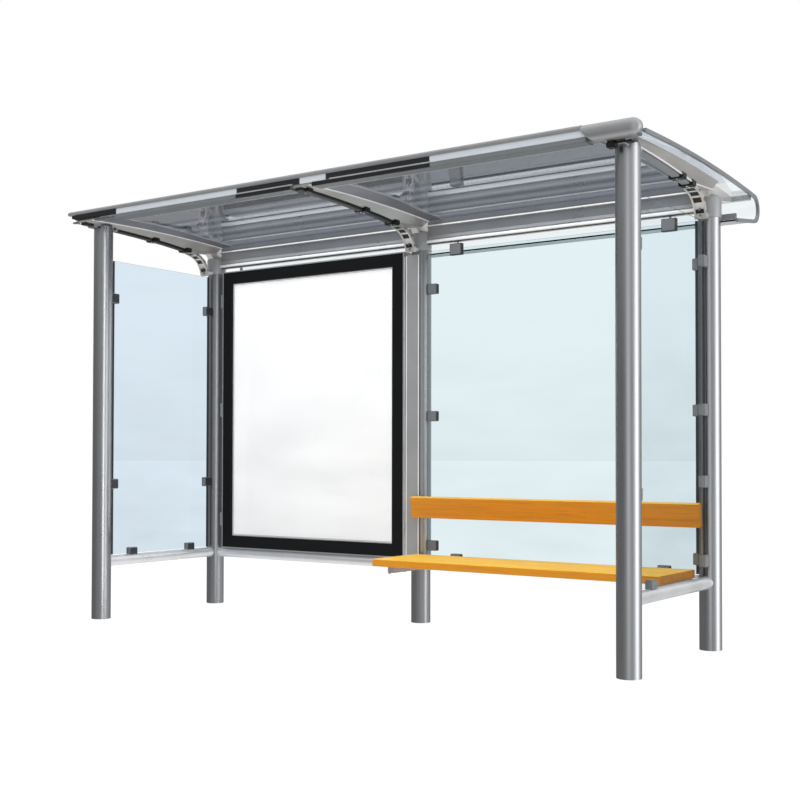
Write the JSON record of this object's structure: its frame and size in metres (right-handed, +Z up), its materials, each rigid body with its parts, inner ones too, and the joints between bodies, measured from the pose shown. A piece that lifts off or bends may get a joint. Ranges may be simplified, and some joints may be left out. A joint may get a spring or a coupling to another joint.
{
  "type": "bus shelter",
  "caption": "Open-front bus shelter: round steel posts, curved clear roof, glass side and rear screens, a poster case and a slatted wooden bench with backrest.",
  "frame": {"origin": "on the ground, at the middle of the roof in length and depth", "axes": "+X along the shelter, +Y towards its back, +Z up; people come in from -Y"},
  "size_m": [3.714, 1.5585, 2.4535],
  "materials": {
    "stainless": "polished stainless tube with soft vertical reflections",
    "cast_metal": "polished cast metal",
    "aluminium": "extruded aluminium, mill finish",
    "grey_cap": "smooth light grey cast cover",
    "clear_roof": "clear sheet with a faint smoke tint",
    "frosted_strip": "frosted light strip",
    "dark_trim": "dark grey edge trim",
    "glass": "clear toughened glass",
    "dark_clip": "dark grey coated",
    "black_clamp": "black moulded",
    "black_frame": "black satin coating",
    "white_poster": "bare white panel",
    "wood": "oiled light hardwood"
  },
  "bodies": {
    "root": {"back_stubs": "dark_clip", "backrest_plank": "wood", "case_channel": "aluminium", "case_frame": "black_frame", "case_glazing": "glass", "case_tray": "aluminium", "clips_left": "dark_clip", "clips_rear": "dark_clip", "clips_right": "dark_clip", "front_bead": "aluminium", "front_cap_left": "grey_cap", "front_cap_right": "grey_cap", "front_fascia": "frosted_strip", "front_purlin": "aluminium", "glass_left": "glass", "glass_rear": "glass", "glass_right": "glass", "head_casting_left": "cast_metal", "head_casting_right": "cast_metal", "post_front_left": "stainless", "post_front_right": "stainless", "post_rear_left": "stainless", "post_rear_mid": "stainless", "post_rear_right": "stainless", "poster": "white_poster", "rail_left": "stainless", "rail_rear_left": "stainless", "rail_rear_right": "stainless", "rail_right": "stainless", "rear_beam_left": "aluminium", "rear_beam_right": "aluminium", "rear_purlin": "aluminium", "rib_casting_left": "cast_metal", "rib_casting_mid": "cast_metal", "rib_casting_right": "cast_metal", "rib_clamps": "black_clamp", "rib_left": "aluminium", "rib_mid": "aluminium", "rib_right": "aluminium", "roof_sheet_left": "clear_roof", "roof_sheet_right": "clear_roof", "roof_trim_left": "dark_trim", "roof_trim_right": "dark_trim", "seat_brackets": "dark_clip", "seat_plank_front": "wood", "seat_plank_middle": "wood", "seat_plank_rear": "wood"}
  },
  "joints": []
}
